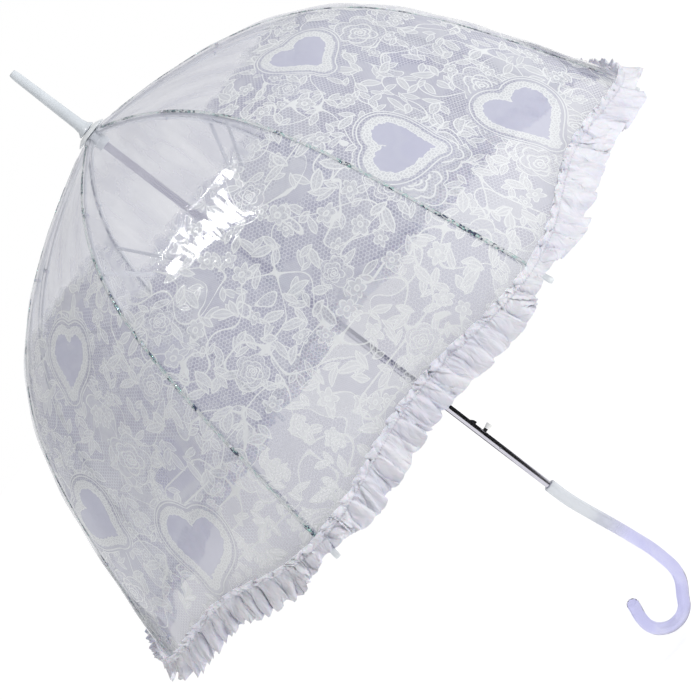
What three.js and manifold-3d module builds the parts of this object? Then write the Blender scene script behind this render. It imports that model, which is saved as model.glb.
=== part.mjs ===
// Lace parasol: a deep clear dome on eight sprung ribs, with a frilled hem and a crook handle.
// Millimetres, +Z up. The shaft runs along Z through the origin, which is the middle of the grip.
import * as THREE from "three";
import * as BufferGeometryUtils from "three/addons/utils/BufferGeometryUtils.js";
import Module from "manifold-3d";

const wasm = await Module();
wasm.setup();

// Driving dimensions
const APEX_Z = 645;            // height of the top of the dome above the grip
const RIB_COUNT = 8;
const RIB_END_DEPTH = 366;     // apex down to the end of a rib, measured along the shaft
const HEM_DEPTH = 354;         // apex down to the hem of the film at a rib
const DOME_SWELL = 245;        // radius that the rounded top adds
const DOME_FALL = 55.5;        // depth over which the top rounds over
const DOME_FLARE = 0.34;       // slope of the nearly straight skirt below it
const GAP = 0.3;               // running clearance between neighbouring pieces

const SHAFT_R = 4;
const SHAFT_BORE_R = 3.3;
const SHAFT_TOP = 24;          // above the apex
const SHAFT_SEAT = 24;         // length held inside the handle
const HANDLE_TOP_DEPTH = 581;  // apex down to the handle's upper face

const RIB_R = 1.5;
const RIB_PIVOT_R = 11.5;
const RIB_PIVOT_DEPTH = 7;
const RIB_INSET = 4;           // rib centre line below the canopy's outer face
const TIP_R = 2.8;
const TIP_LENGTH = 17;
const TIP_CUP = 8;             // depth of the socket that the rib end sits in

const STRETCHER_JOINT_DEPTH = 88;
const STRETCHER_HALF_WIDTH = 2.2;
const STRETCHER_THICKNESS = 1.6;
const STRETCHER_OFFSET = RIB_R + GAP + STRETCHER_THICKNESS / 2;
const RUNNER_PIVOT_R = 9.5;
const RUNNER_PIVOT_DEPTH = 227;
const RUNNER_LENGTH = 46;

const FILM_THICKNESS = 0.6;
const PANEL_TOP_DEPTH = 3.8;   // the panels start this far below the apex, round the crown
const PANEL_TAUTNESS = 0.045;  // how far the middle of a panel lies inside the ribs' circle
const HEM_RISE = 14;           // the hem climbs this far between two ribs
const FRILL_WIDTH_AT_RIB = 17;
const FRILL_WIDTH = 28;        // in the middle of a panel
const FRILL_THICKNESS = 6;

const LATCH_HOOK_DEPTH = 478;  // apex down to the nose that holds the closed runner
const LATCH_BUTTON_DEPTH = 493;
const LATCH_PIVOT_DEPTH = 516;
const LATCH_THICKNESS = 2;

const up = (depth) => APEX_Z - depth;
const ribAngle = (i) => ((i + 0.5) * 2 * Math.PI) / RIB_COUNT;
const domeRadius = (depth) => DOME_SWELL * (1 - Math.exp(-depth / DOME_FALL)) + DOME_FLARE * depth;
const domeSlope = (depth) => (DOME_SWELL / DOME_FALL) * Math.exp(-depth / DOME_FALL) + DOME_FLARE;

const parasol = new THREE.Group();

function add(name, geometry, color, roughness = 0.5, metalness = 0) {
  const mesh = new THREE.Mesh(geometry, new THREE.MeshStandardMaterial({ color, roughness, metalness }));
  mesh.name = name;
  parasol.add(mesh);
  return mesh;
}

// Booleans
function toSolid(geometry) {
  const bare = geometry.clone();
  bare.deleteAttribute("normal");
  bare.deleteAttribute("uv");
  const merged = BufferGeometryUtils.mergeVertices(bare, 1e-4);
  const mesh = new wasm.Mesh({
    numProp: 3,
    vertProperties: new Float32Array(merged.attributes.position.array),
    triVerts: new Uint32Array(merged.index.array),
  });
  return new wasm.Manifold(mesh);
}

function toGeometry(solid) {
  const mesh = solid.getMesh();
  const geometry = new THREE.BufferGeometry();
  geometry.setAttribute("position", new THREE.BufferAttribute(mesh.vertProperties, 3));
  geometry.setIndex(new THREE.BufferAttribute(mesh.triVerts, 1));
  return geometry;
}

function cut(geometry, ...tools) {
  return toGeometry(tools.reduce((solid, tool) => solid.subtract(toSolid(tool)), toSolid(geometry)));
}

// A turned piece: pairs of radius and height, on the Z axis.
function turned(profile, segments = 24) {
  const points = profile.map(([r, z]) => new THREE.Vector2(r, z));
  return new THREE.LatheGeometry(points, segments).rotateX(Math.PI / 2);
}

// A tube whose wall profile closes on itself.
function sleeve(innerR, outline, segments = 24) {
  const low = outline[0][1];
  const high = outline[outline.length - 1][1];
  return turned([[innerR, low], ...outline, [innerR, high], [innerR, low]], segments);
}

function box(x0, x1, y0, y1, z0, z1) {
  const geometry = new THREE.BoxGeometry(x1 - x0, y1 - y0, z1 - z0);
  return geometry.translate((x0 + x1) / 2, (y0 + y1) / 2, (z0 + z1) / 2);
}

function circleShape(radius, sides) {
  const shape = new THREE.Shape();
  shape.absarc(0, 0, radius, 0, 2 * Math.PI, false);
  return new THREE.Shape(shape.getPoints(sides / 2).slice(0, -1));
}

function rod(curve, radius, sides, steps) {
  return new THREE.ExtrudeGeometry(circleShape(radius, sides), { extrudePath: curve, steps });
}

// The dome's meridian at its apex is nearly flat and its skirt is nearly straight, so depths
// are spaced more closely near the top.
function depthAt(share, from, to) {
  return from + (to - from) * share ** 1.7;
}

// A point of the rib's centre line, in the plane y = 0.
function ribPoint(depth) {
  const slope = domeSlope(depth);
  const scale = RIB_INSET / Math.hypot(1, slope);
  return new THREE.Vector3(domeRadius(depth) - scale, 0, up(depth) - scale * slope);
}

function ribCurve() {
  const points = [new THREE.Vector3(RIB_PIVOT_R - 2, 0, up(RIB_PIVOT_DEPTH))];
  const steps = 16;
  for (let k = 0; k <= steps; k++) {
    points.push(ribPoint(depthAt(k / steps, 6, RIB_END_DEPTH)));
  }
  return new THREE.CatmullRomCurve3(points, false, "centripetal");
}

// The socketed end cap of a rib, along the rib's last direction.
function ribTip(curve) {
  const end = curve.getPointAt(1);
  const along = curve.getTangentAt(1);
  const r = TIP_R;
  const profile = [
    [0, 0], [RIB_R + GAP, 0], [RIB_R + GAP, -TIP_CUP], [r * 0.8, -TIP_CUP], [r, -TIP_CUP + 1],
    [r, TIP_LENGTH - TIP_CUP - 2], [r * 0.7, TIP_LENGTH - TIP_CUP - 0.6], [0, TIP_LENGTH - TIP_CUP],
  ];
  const turn = new THREE.Quaternion().setFromUnitVectors(new THREE.Vector3(0, 0, 1), along);
  const start = end.clone().addScaledVector(along, GAP);
  return turned(profile, 12).applyQuaternion(turn).translate(start.x, start.y, start.z);
}

// A flat bar from the runner to the rib, beside the rib's plane.
function stretcher() {
  const from = new THREE.Vector2(RUNNER_PIVOT_R, up(RUNNER_PIVOT_DEPTH));
  const joint = ribPoint(STRETCHER_JOINT_DEPTH);
  const to = new THREE.Vector2(joint.x, joint.z);
  const along = to.clone().sub(from);
  const w = STRETCHER_HALF_WIDTH;
  const shape = new THREE.Shape();
  shape.absarc(0, 0, w, Math.PI / 2, (3 * Math.PI) / 2, false);
  shape.absarc(along.length(), 0, w, -Math.PI / 2, Math.PI / 2, false);
  const outline = new THREE.Shape(shape.getPoints(5));
  const options = { depth: STRETCHER_THICKNESS, bevelEnabled: false };
  const bar = new THREE.ExtrudeGeometry(outline, options).translate(0, 0, -STRETCHER_THICKNESS / 2);
  bar.rotateX(Math.PI / 2).rotateY(-along.angle());
  return bar.translate(from.x, STRETCHER_OFFSET, from.y);
}

// A closed skin between two grids of points, outer[i][j] and inner[i][j].
function slab(outer, inner) {
  const rows = outer.length;
  const columns = outer[0].length;
  const positions = [];
  for (const grid of [outer, inner]) {
    for (const row of grid) {
      for (const p of row) positions.push(p.x, p.y, p.z);
    }
  }
  const at = (side, i, j) => (side * rows + i) * columns + j;
  const index = [];
  const quad = (a, b, c, d) => index.push(a, b, c, a, c, d);
  for (let i = 0; i + 1 < rows; i++) {
    for (let j = 0; j + 1 < columns; j++) {
      quad(at(0, i, j), at(0, i + 1, j), at(0, i + 1, j + 1), at(0, i, j + 1));
      quad(at(1, i, j), at(1, i, j + 1), at(1, i + 1, j + 1), at(1, i + 1, j));
    }
    quad(at(0, i, 0), at(1, i, 0), at(1, i + 1, 0), at(0, i + 1, 0));
    quad(at(0, i, columns - 1), at(0, i + 1, columns - 1), at(1, i + 1, columns - 1), at(1, i, columns - 1));
  }
  for (let j = 0; j + 1 < columns; j++) {
    quad(at(0, 0, j), at(0, 0, j + 1), at(1, 0, j + 1), at(1, 0, j));
    quad(at(0, rows - 1, j), at(1, rows - 1, j), at(1, rows - 1, j + 1), at(0, rows - 1, j + 1));
  }
  const geometry = new THREE.BufferGeometry();
  geometry.setAttribute("position", new THREE.Float32BufferAttribute(positions, 3));
  geometry.setIndex(index);
  return geometry;
}

// Half a canopy panel, from a seam (side 0) to the panel's middle (side 1), turned so that the
// seam is at azimuth 0. direction is 1 for the half on the counter-clockwise side of the rib.
function halfPanel(direction) {
  const rows = 12;
  const columns = 4;
  const halfAngle = Math.PI / RIB_COUNT;
  const outer = [];
  const inner = [];
  for (let i = 0; i <= rows + 2; i++) {
    const outerRow = [];
    const innerRow = [];
    for (let j = 0; j <= columns; j++) {
      const across = j / columns;
      const sag = (1 - Math.cos(Math.PI * across)) / 2;
      const hem = HEM_DEPTH - HEM_RISE * sag;
      const frill = i > rows;
      const width = FRILL_WIDTH_AT_RIB + (FRILL_WIDTH - FRILL_WIDTH_AT_RIB) * sag;
      const depth = frill ? hem + width * (i - rows - 1) : depthAt(i / rows, PANEL_TOP_DEPTH, hem);
      const radius = domeRadius(depth) * (1 - PANEL_TAUTNESS * sag);
      const slope = domeSlope(depth);
      const lean = 1 / Math.hypot(1, slope);
      const proud = frill ? FRILL_THICKNESS : 0;
      const edge = GAP / 2 / radius;
      const angle = direction * (edge + (halfAngle - 2 * edge) * across);
      const place = (offset) => {
        const r = radius + offset * lean;
        return new THREE.Vector3(r * Math.cos(angle), r * Math.sin(angle), up(depth) + offset * lean * slope);
      };
      outerRow.push(place(proud));
      innerRow.push(place(-FILM_THICKNESS));
    }
    outer.push(outerRow);
    inner.push(innerRow);
  }
  return direction > 0 ? slab(outer, inner) : slab(inner, outer);
}

// Shaft, with a slot for the latch and a cross hole for its pin.
function shaft() {
  const low = up(HANDLE_TOP_DEPTH + SHAFT_SEAT);
  const tube = sleeve(SHAFT_BORE_R, [[SHAFT_R, low], [SHAFT_R, APEX_Z + SHAFT_TOP]], 40);
  const half = LATCH_THICKNESS / 2 + GAP;
  const slot = box(0.5, SHAFT_R + 1, -half, half, up(LATCH_PIVOT_DEPTH - 10), up(LATCH_HOOK_DEPTH - 9));
  return cut(tube, slot, crossPin(1.1, 2 * SHAFT_R + 4));
}

function crossPin(radius, length) {
  return new THREE.CylinderGeometry(radius, radius, length, 12).translate(0, 0, up(LATCH_PIVOT_DEPTH));
}

// Lever of the closed-position latch: pin eye below, then the button stub and the runner hook.
function latchLever() {
  const shape = new THREE.Shape();
  const z = (depth) => up(depth);
  shape.moveTo(-1.6, z(LATCH_PIVOT_DEPTH + 2.4));
  shape.lineTo(1.8, z(LATCH_PIVOT_DEPTH + 2.4));
  shape.lineTo(2.4, z(LATCH_BUTTON_DEPTH + 2));
  shape.lineTo(6.8, z(LATCH_BUTTON_DEPTH + 2));
  shape.lineTo(6.8, z(LATCH_BUTTON_DEPTH - 2));
  shape.lineTo(2.4, z(LATCH_BUTTON_DEPTH - 2));
  shape.lineTo(2.4, z(LATCH_HOOK_DEPTH + 3.5));
  shape.lineTo(6.2, z(LATCH_HOOK_DEPTH + 3));
  shape.quadraticCurveTo(6.6, z(LATCH_HOOK_DEPTH - 1), 2.6, z(LATCH_HOOK_DEPTH - 5));
  shape.lineTo(0.6, z(LATCH_HOOK_DEPTH - 7));
  shape.lineTo(0.6, z(LATCH_PIVOT_DEPTH - 4));
  shape.lineTo(-1.6, z(LATCH_PIVOT_DEPTH - 2.4));
  const outline = new THREE.Shape(shape.getPoints(6));
  const options = { depth: LATCH_THICKNESS, bevelEnabled: false };
  const plate = new THREE.ExtrudeGeometry(outline, options).translate(0, 0, -LATCH_THICKNESS / 2);
  return cut(plate.rotateX(Math.PI / 2), crossPin(1.1, 6));
}

function latchButton() {
  const stub = 6.8 + GAP;
  const profile = [[0, stub], [2.4, stub], [2.6, stub + 0.6], [3.6, stub + 4.6], [3.2, stub + 5.4], [0, stub + 5.8]];
  return turned(profile, 20).rotateY(Math.PI / 2).translate(0, 0, up(LATCH_BUTTON_DEPTH));
}

// Eight slots around a hub, each beside or on a rib's plane.
function hubSlots(innerR, outerR, halfWidth, offset, low, high) {
  const slots = [];
  for (let i = 0; i < RIB_COUNT; i++) {
    const slot = box(innerR, outerR, offset - halfWidth, offset + halfWidth, low, high);
    slots.push(slot.rotateZ(ribAngle(i)));
  }
  return slots;
}

function crown() {
  const low = up(20);
  const outline = [[7, low], [7.6, up(13)], [13.4, up(12)], [13.8, up(4)], [7.6, up(2.4)]];
  const body = sleeve(SHAFT_R + GAP, outline);
  return cut(body, ...hubSlots(8, 16, RIB_R + GAP, 0, up(16), up(-2)));
}

// Slotted collar above for the stretchers, and a window below that the latch hook snaps into.
function runner() {
  const top = RUNNER_PIVOT_DEPTH - 5;
  const bottom = top + RUNNER_LENGTH;
  const outline = [
    [6.2, up(bottom)], [7.4, up(bottom - 1)], [7.4, up(bottom - 5)], [6, up(bottom - 6)], [6, up(top + 11)],
    [11.2, up(top + 10)], [11.6, up(top + 1)], [6.6, up(top)],
  ];
  const body = sleeve(SHAFT_R + GAP, outline);
  const half = STRETCHER_THICKNESS / 2 + GAP;
  const slots = hubSlots(6.6, 16, half, STRETCHER_OFFSET, up(top + 14), up(top - 4));
  const window = box(0, 9, -LATCH_THICKNESS, LATCH_THICKNESS, up(bottom - 5), up(bottom - 17));
  return cut(body, window, ...slots);
}

function ferrule() {
  const bore = SHAFT_R + GAP;
  const seat = APEX_Z + SHAFT_TOP + 1;
  return turned([
    [0, seat], [bore, seat], [bore, up(-2.4)], [9.5, up(-2.4)], [10, up(-3.4)], [7, up(-7)], [6, up(-13)],
    [4.6, up(-86)], [4, up(-91)], [3.4, up(-92)], [0, up(-92)],
  ], 36);
}

// Thin disc between the ferrule and the crown that holds the panels' gathered points.
function canopyWasher() {
  const inner = SHAFT_R + GAP;
  return turned([[inner, up(0.8)], [18.2, up(3)], [18.6, up(2.3)], [12, up(-1.2)], [inner, up(-2)], [inner, up(0.8)]]);
}

// The crook: straight on the shaft, leaning slightly away from the hook, then a wide bend into
// a tighter round, with a straight end that leans back in.
function handlePath() {
  const centre = new THREE.Vector3(-28.5, 0, up(756.5));
  const radius = 24.5;
  const lead = [[0, 581], [0, 594], [0.5, 608], [5, 645], [9.5, 680], [12.3, 722], [8, 750]];
  const end = [[-47, 736], [-43, 725.5]];
  const at = ([x, depth]) => new THREE.Vector3(x, 0, up(depth));
  const path = lead.map(at);
  for (let degrees = 30; degrees <= 200; degrees += 34) {
    const a = THREE.MathUtils.degToRad(degrees);
    path.push(new THREE.Vector3(centre.x + radius * Math.cos(a), 0, centre.z - radius * Math.sin(a)));
  }
  path.push(...end.map(at));
  return new THREE.CatmullRomCurve3(path, false, "centripetal");
}

function handle() {
  const crook = rod(handlePath(), 6.9, 16, 40);
  const depth = SHAFT_SEAT + 1;
  const socket = new THREE.CylinderGeometry(SHAFT_R + GAP, SHAFT_R + GAP, depth + 4, 20);
  socket.rotateX(Math.PI / 2).translate(0, 0, up(HANDLE_TOP_DEPTH + depth) + (depth + 4) / 2);
  return cut(crook, socket);
}

add("shaft", shaft(), 0xb9bcc4, 0.18, 1);
add("ferrule", ferrule(), 0xf4f5fa, 0.4);
add("crown", crown(), 0xf4f5fa, 0.45);
add("canopy_washer", canopyWasher(), 0xf0f0f6, 0.4);
add("runner", runner(), 0xf4f5fa, 0.45);
add("handle", handle(), 0xd5d6ee, 0.15);
add("latch_lever", latchLever(), 0x15151a, 0.4, 0.6);
add("latch_button", latchButton(), 0xf2f2ee, 0.35);
add("latch_pin", crossPin(0.8, 2 * SHAFT_R - 0.4), 0xb0b2b8, 0.3, 1);

const curve = ribCurve();
for (let i = 0; i < RIB_COUNT; i++) {
  const number = i + 1;
  const turn = ribAngle(i);
  add(`rib_${number}`, rod(curve, RIB_R, 6, 26).rotateZ(turn), 0xeceef4, 0.35, 0.2);
  add(`rib_tip_${number}`, ribTip(curve).rotateZ(turn), 0xf6f7fb, 0.4);
  add(`stretcher_${number}`, stretcher().rotateZ(turn), 0xe6e8ee, 0.3, 0.4);
  add(`canopy_panel_${number}_left`, halfPanel(1).rotateZ(turn), 0xdfe1ee, 0.1);
  add(`canopy_panel_${number}_right`, halfPanel(-1).rotateZ(turn), 0xdfe1ee, 0.1);
}

export default parasol;
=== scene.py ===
import math

import bpy
import numpy as np
from mathutils import Matrix, Vector


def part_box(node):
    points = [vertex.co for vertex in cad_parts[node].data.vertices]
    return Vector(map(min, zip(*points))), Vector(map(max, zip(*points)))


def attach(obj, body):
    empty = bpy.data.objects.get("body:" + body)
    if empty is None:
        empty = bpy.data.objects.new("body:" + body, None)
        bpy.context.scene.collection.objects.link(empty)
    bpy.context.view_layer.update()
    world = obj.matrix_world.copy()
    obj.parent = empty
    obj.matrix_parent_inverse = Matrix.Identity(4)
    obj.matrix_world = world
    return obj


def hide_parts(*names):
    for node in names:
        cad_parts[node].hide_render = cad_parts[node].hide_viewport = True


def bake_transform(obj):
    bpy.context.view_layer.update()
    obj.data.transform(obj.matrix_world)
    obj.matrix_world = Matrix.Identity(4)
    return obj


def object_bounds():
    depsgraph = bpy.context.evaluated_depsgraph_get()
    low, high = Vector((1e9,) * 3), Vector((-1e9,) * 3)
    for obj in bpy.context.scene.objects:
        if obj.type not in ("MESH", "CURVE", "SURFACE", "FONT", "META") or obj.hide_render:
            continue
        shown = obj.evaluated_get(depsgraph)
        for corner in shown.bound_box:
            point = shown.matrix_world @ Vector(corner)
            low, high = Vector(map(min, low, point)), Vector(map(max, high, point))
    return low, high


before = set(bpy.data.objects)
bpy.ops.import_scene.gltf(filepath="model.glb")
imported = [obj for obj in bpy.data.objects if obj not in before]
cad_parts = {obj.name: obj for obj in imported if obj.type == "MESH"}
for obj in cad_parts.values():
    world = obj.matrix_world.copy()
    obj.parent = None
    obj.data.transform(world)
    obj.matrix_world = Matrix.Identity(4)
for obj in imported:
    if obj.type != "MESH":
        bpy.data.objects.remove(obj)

# Lace parasol. Metres, +Z up along the shaft; the origin is the middle of the grip.
CAD_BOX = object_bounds()

RIB_COUNT = 8
PANEL_ANGLE = 2 * math.pi / RIB_COUNT
APEX_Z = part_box("shaft")[1].z - 0.024
HANDLE_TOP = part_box("handle")[1].z

# The dome: the same meridian as the frame's
DOME_SWELL = 0.245
DOME_FALL = 0.0555
DOME_FLARE = 0.34
PANEL_TAUTNESS = 0.045
PANEL_TOP_DEPTH = 0.0038
HEM_DEPTH = 0.354
HEM_RISE = 0.014
RIB_END_DEPTH = 0.366
RIB_INSET = 0.004
RIB_RADIUS = 0.0015
RIB_PIVOT_R = 0.0115
RIB_PIVOT_DEPTH = 0.007

# The frill
FRILL_FULLNESS = 1.9          # ribbon length for each length of hem
FRILL_HEADING = 0.006         # part that stands above the stitch line
FRILL_WIDTH_AT_RIB = 0.0095   # below the stitch line
FRILL_WIDTH = 0.024
FRILL_GATHERS = 15            # folds in each panel
FRILL_DROP = 0.0035           # stitch line below the film's hem
FRILL_STAND = 0.0034          # stitch line out from the film

# The print: clear round the apex, hearts in alternate panels
PRINT_START = 0.218           # from the apex along a heart panel
PRINT_LATER = 0.072           # further from it on the others
PRINT_FADE = 0.024
PRINT_RAGGED = 0.05           # how far the border wanders
ROSE_CELL = 0.098             # room for one rose
SPRIG_CELL = 0.031
BUD_CELL = 0.0225
NET_PITCH = 0.0029
EYELET_PITCH = 0.0032
HATCH_WAVE = 2 * math.pi / 0.0021
NO_HEART = 0.05               # distance to a heart where there is none near
STITCH_LENGTH = 0.0034
WEAVE_PITCH = 0.0006

# Hearts of a heart panel: across from the panel's middle, from the apex along it, width, turn of the tip
HEARTS = (
    (0.004, 0.282, 0.056, -30),
    (-0.080, 0.408, 0.058, 30),
    (0.020, 0.488, 0.070, -30),
)

# Fittings
SEAM_TOP = 0.0065             # depth at which a seam starts
RIB_CURVE_TOP = 0.0062        # depth at which a rib has left its pivot and follows the dome
SEAM_HALF_WIDTH = 0.0017
SEAM_THICKNESS = 0.0004
TIE_DEPTHS = (0.045, 0.150, 0.255)
TIE_TURNS = 3
THREAD_RADIUS = 0.0004
CROOK_RADIUS = 0.0069
SOCKET_DEPTH = 0.0235
SOCKET_RADIUS = 0.0042

# The view and the floor
CAMERA_DISTANCE = 1.71
CAMERA_LENS = 88
AZIMUTH = math.radians(2)
ELEVATION = math.radians(9)
ROLL = math.radians(52.6)
AIM_DEPTH = 0.333             # from the apex down to the point at the picture's middle
AIM_ACROSS = -0.014
FLOOR_REACH = 14
FLOOR_GAP = 0.02              # floor below the lowest point


def dome_radius(depth):
    return DOME_SWELL * (1 - np.exp(-depth / DOME_FALL)) + DOME_FLARE * depth


def dome_slope(depth):
    return DOME_SWELL / DOME_FALL * np.exp(-depth / DOME_FALL) + DOME_FLARE


def meridian_table():
    """Depths, and the length along the dome from the apex down to each."""
    depths = np.linspace(0, 0.4, 1600)
    steps = np.hypot(np.diff(dome_radius(depths)), np.diff(depths))
    return depths, np.concatenate([[0], np.cumsum(steps)])


DEPTHS, ARCS = meridian_table()


def arc_at(depth):
    return np.interp(depth, DEPTHS, ARCS)


HALF_HEM = float(dome_radius(HEM_DEPTH) * PANEL_ANGLE / 2)   # hem length of a half panel


def rib_angle(index):
    return (index + 0.5) * PANEL_ANGLE


def sag_at(across):
    """0 at a rib and 1 in the middle of a panel."""
    return (1 - np.cos(math.pi * across)) / 2


def dome_points(angle, across, depth, proud=0.0):
    """Points of a half panel: across is 0 at the seam and 1 at the panel's middle."""
    radius = dome_radius(depth) * (1 - PANEL_TAUTNESS * sag_at(across))
    slope = dome_slope(depth)
    lean = 1 / np.hypot(1, slope)
    r = radius + proud * lean
    return np.stack([r * np.cos(angle), r * np.sin(angle), APEX_Z - depth + proud * lean * slope], axis=-1)


# ---------------------------------------------------------------- meshes

def mesh_piece(name, verts, faces, material, smooth=True):
    mesh = bpy.data.meshes.new(name)
    mesh.from_pydata([tuple(v) for v in verts], [], faces)
    mesh.validate()
    mesh.polygons.foreach_set("use_smooth", [smooth] * len(mesh.polygons))
    mesh.materials.append(material)
    piece = bpy.data.objects.new(name, mesh)
    bpy.context.scene.collection.objects.link(piece)
    return piece


def word_for(side):
    return "left" if side > 0 else "right"


def panel_number(index, side):
    """The panel that a half panel belongs to: each panel lies between two ribs."""
    return index if side > 0 else (index - 1) % RIB_COUNT


def grid_faces(rows, columns, flip=False):
    faces = []
    for i in range(rows - 1):
        for j in range(columns - 1):
            a = i * columns + j
            quad = (a, a + columns, a + columns + 1, a + 1)
            faces.append(quad[::-1] if flip else quad)
    return faces


def float_attribute(piece, name, values):
    attribute = piece.data.attributes.new(name, "FLOAT", "POINT")
    attribute.data.foreach_set("value", np.asarray(values, np.float32).ravel())


def vector_attribute(piece, name, values):
    attribute = piece.data.attributes.new(name, "FLOAT_VECTOR", "POINT")
    attribute.data.foreach_set("vector", np.asarray(values, np.float32).ravel())


def rectangle(name, w, h, material):
    """A flat rectangle of half width w and half height h."""
    verts = [(-w, -h, 0), (w, -h, 0), (w, h, 0), (-w, h, 0)]
    return mesh_piece(name, verts, [(0, 1, 2, 3)], material, smooth=False)


def swept_tube(name, points, radii, sides, material):
    """A closed tube with flat ends along points, turning no more than its line does."""
    points = np.asarray(points, float)
    tangents = np.gradient(points, axis=0)
    tangents /= np.linalg.norm(tangents, axis=1)[:, None]
    normal = np.cross(tangents[0], [0.31, 0.77, 0.55])
    verts = []
    turns = np.arange(sides) * 2 * math.pi / sides
    for point, tangent, radius in zip(points, tangents, radii):
        normal = normal - tangent * (normal @ tangent)
        normal /= np.linalg.norm(normal)
        side = np.cross(tangent, normal)
        for turn in turns:
            verts.append(point + radius * (math.cos(turn) * normal + math.sin(turn) * side))
    faces = [tuple(range(sides))[::-1]]
    for i in range(len(points) - 1):
        for j in range(sides):
            a, b = i * sides + j, i * sides + (j + 1) % sides
            faces.append((a, b, b + sides, a + sides))
    last = (len(points) - 1) * sides
    faces.append(tuple(range(last, last + sides)))
    return mesh_piece(name, verts, faces, material)


# ---------------------------------------------------------------- shader arithmetic

class Field:
    """A number that varies over a surface, for arithmetic in a node tree."""

    def __init__(self, tree, socket):
        self.tree = tree
        self.socket = socket

    def math(self, operation, *others):
        node = self.tree.nodes.new("ShaderNodeMath")
        node.operation = operation
        for slot, value in zip(node.inputs, (self, *others)):
            if isinstance(value, Field):
                self.tree.links.new(value.socket, slot)
            else:
                slot.default_value = value
        return Field(self.tree, node.outputs[0])

    def __add__(self, other):
        return self.math("ADD", other)

    def __sub__(self, other):
        return self.math("SUBTRACT", other)

    def __mul__(self, other):
        return self.math("MULTIPLY", other)

    def __truediv__(self, other):
        return self.math("DIVIDE", other)

    def __abs__(self):
        return self.math("ABSOLUTE")

    def flipped(self):
        return self.math("MULTIPLY_ADD", -1.0, 1.0)

    def sin(self):
        return self.math("SINE")

    def cos(self):
        return self.math("COSINE")

    def power(self, exponent):
        return self.math("POWER", exponent)

    def at_most(self, other):
        return self.math("MINIMUM", other)

    def at_least(self, other):
        return self.math("MAXIMUM", other)

    def ramp(self, low, high, to_low=0.0, to_high=1.0):
        """Smooth step from to_low at low to to_high at high."""
        node = self.tree.nodes.new("ShaderNodeMapRange")
        node.interpolation_type = "SMOOTHSTEP"
        self.tree.links.new(self.socket, node.inputs["Value"])
        for name, value in (("From Min", low), ("From Max", high), ("To Min", to_low), ("To Max", to_high)):
            node.inputs[name].default_value = value
        return Field(self.tree, node.outputs["Result"])

    def line(self, centre, half_width):
        """1 on a line where this field is centre, fading to 0 at half_width from it."""
        return abs(self - centre).ramp(half_width * 0.45, half_width, 1.0, 0.0)


class Look:
    """A material whose Principled shader is fed by fields."""

    def __init__(self, name):
        self.material = bpy.data.materials.new(name)
        self.material.use_nodes = True
        self.tree = self.material.node_tree
        self.shader = self.tree.nodes["Principled BSDF"]

    def node(self, kind, **settings):
        made = self.tree.nodes.new(kind)
        for key, value in settings.items():
            setattr(made, key, value)
        return made

    def field(self, socket):
        return Field(self.tree, socket)

    def fix(self, **values):
        for name, value in values.items():
            self.shader.inputs[name.replace("_", " ")].default_value = value

    def feed(self, name, value):
        socket = value.socket if isinstance(value, Field) else value
        self.tree.links.new(socket, self.shader.inputs[name])

    def attribute(self, name):
        return self.node("ShaderNodeAttribute", attribute_name=name)

    def place(self):
        return self.node("ShaderNodeTexCoord").outputs["Object"]

    def noise(self, vector, scale, detail=2.0, distortion=0.0):
        """Noise about 0.5, as a field."""
        return self.field(self.noise_node(vector, scale, detail, distortion).outputs["Fac"])

    def noise_node(self, vector, scale, detail=2.0, distortion=0.0):
        made = self.node("ShaderNodeTexNoise")
        self.tree.links.new(vector, made.inputs["Vector"])
        made.inputs["Scale"].default_value = scale
        made.inputs["Detail"].default_value = detail
        made.inputs["Distortion"].default_value = distortion
        return made

    def xyz(self, vector):
        split = self.node("ShaderNodeSeparateXYZ")
        self.tree.links.new(vector, split.inputs[0])
        return [self.field(output) for output in split.outputs]

    def vector(self, x, y, z=0.0):
        made = self.node("ShaderNodeCombineXYZ")
        for slot, value in zip(made.inputs, (x, y, z)):
            if isinstance(value, Field):
                self.tree.links.new(value.socket, slot)
            else:
                slot.default_value = value
        return made.outputs[0]

    def blend(self, factor, first, second):
        """A colour between two, each a colour or a socket."""
        made = self.node("ShaderNodeMix", data_type="RGBA")
        self.tree.links.new(factor.socket, made.inputs[0])
        for slot, value in ((made.inputs[6], first), (made.inputs[7], second)):
            if isinstance(value, tuple):
                slot.default_value = (*value, 1.0)
            else:
                self.tree.links.new(value, slot)
        return made.outputs[2]

    def bump(self, height, strength, distance=0.001):
        made = self.node("ShaderNodeBump")
        made.inputs["Strength"].default_value = strength
        made.inputs["Distance"].default_value = distance
        self.tree.links.new(height.socket, made.inputs["Height"])
        self.tree.links.new(made.outputs[0], self.shader.inputs["Normal"])


# ---------------------------------------------------------------- the lace print

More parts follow.
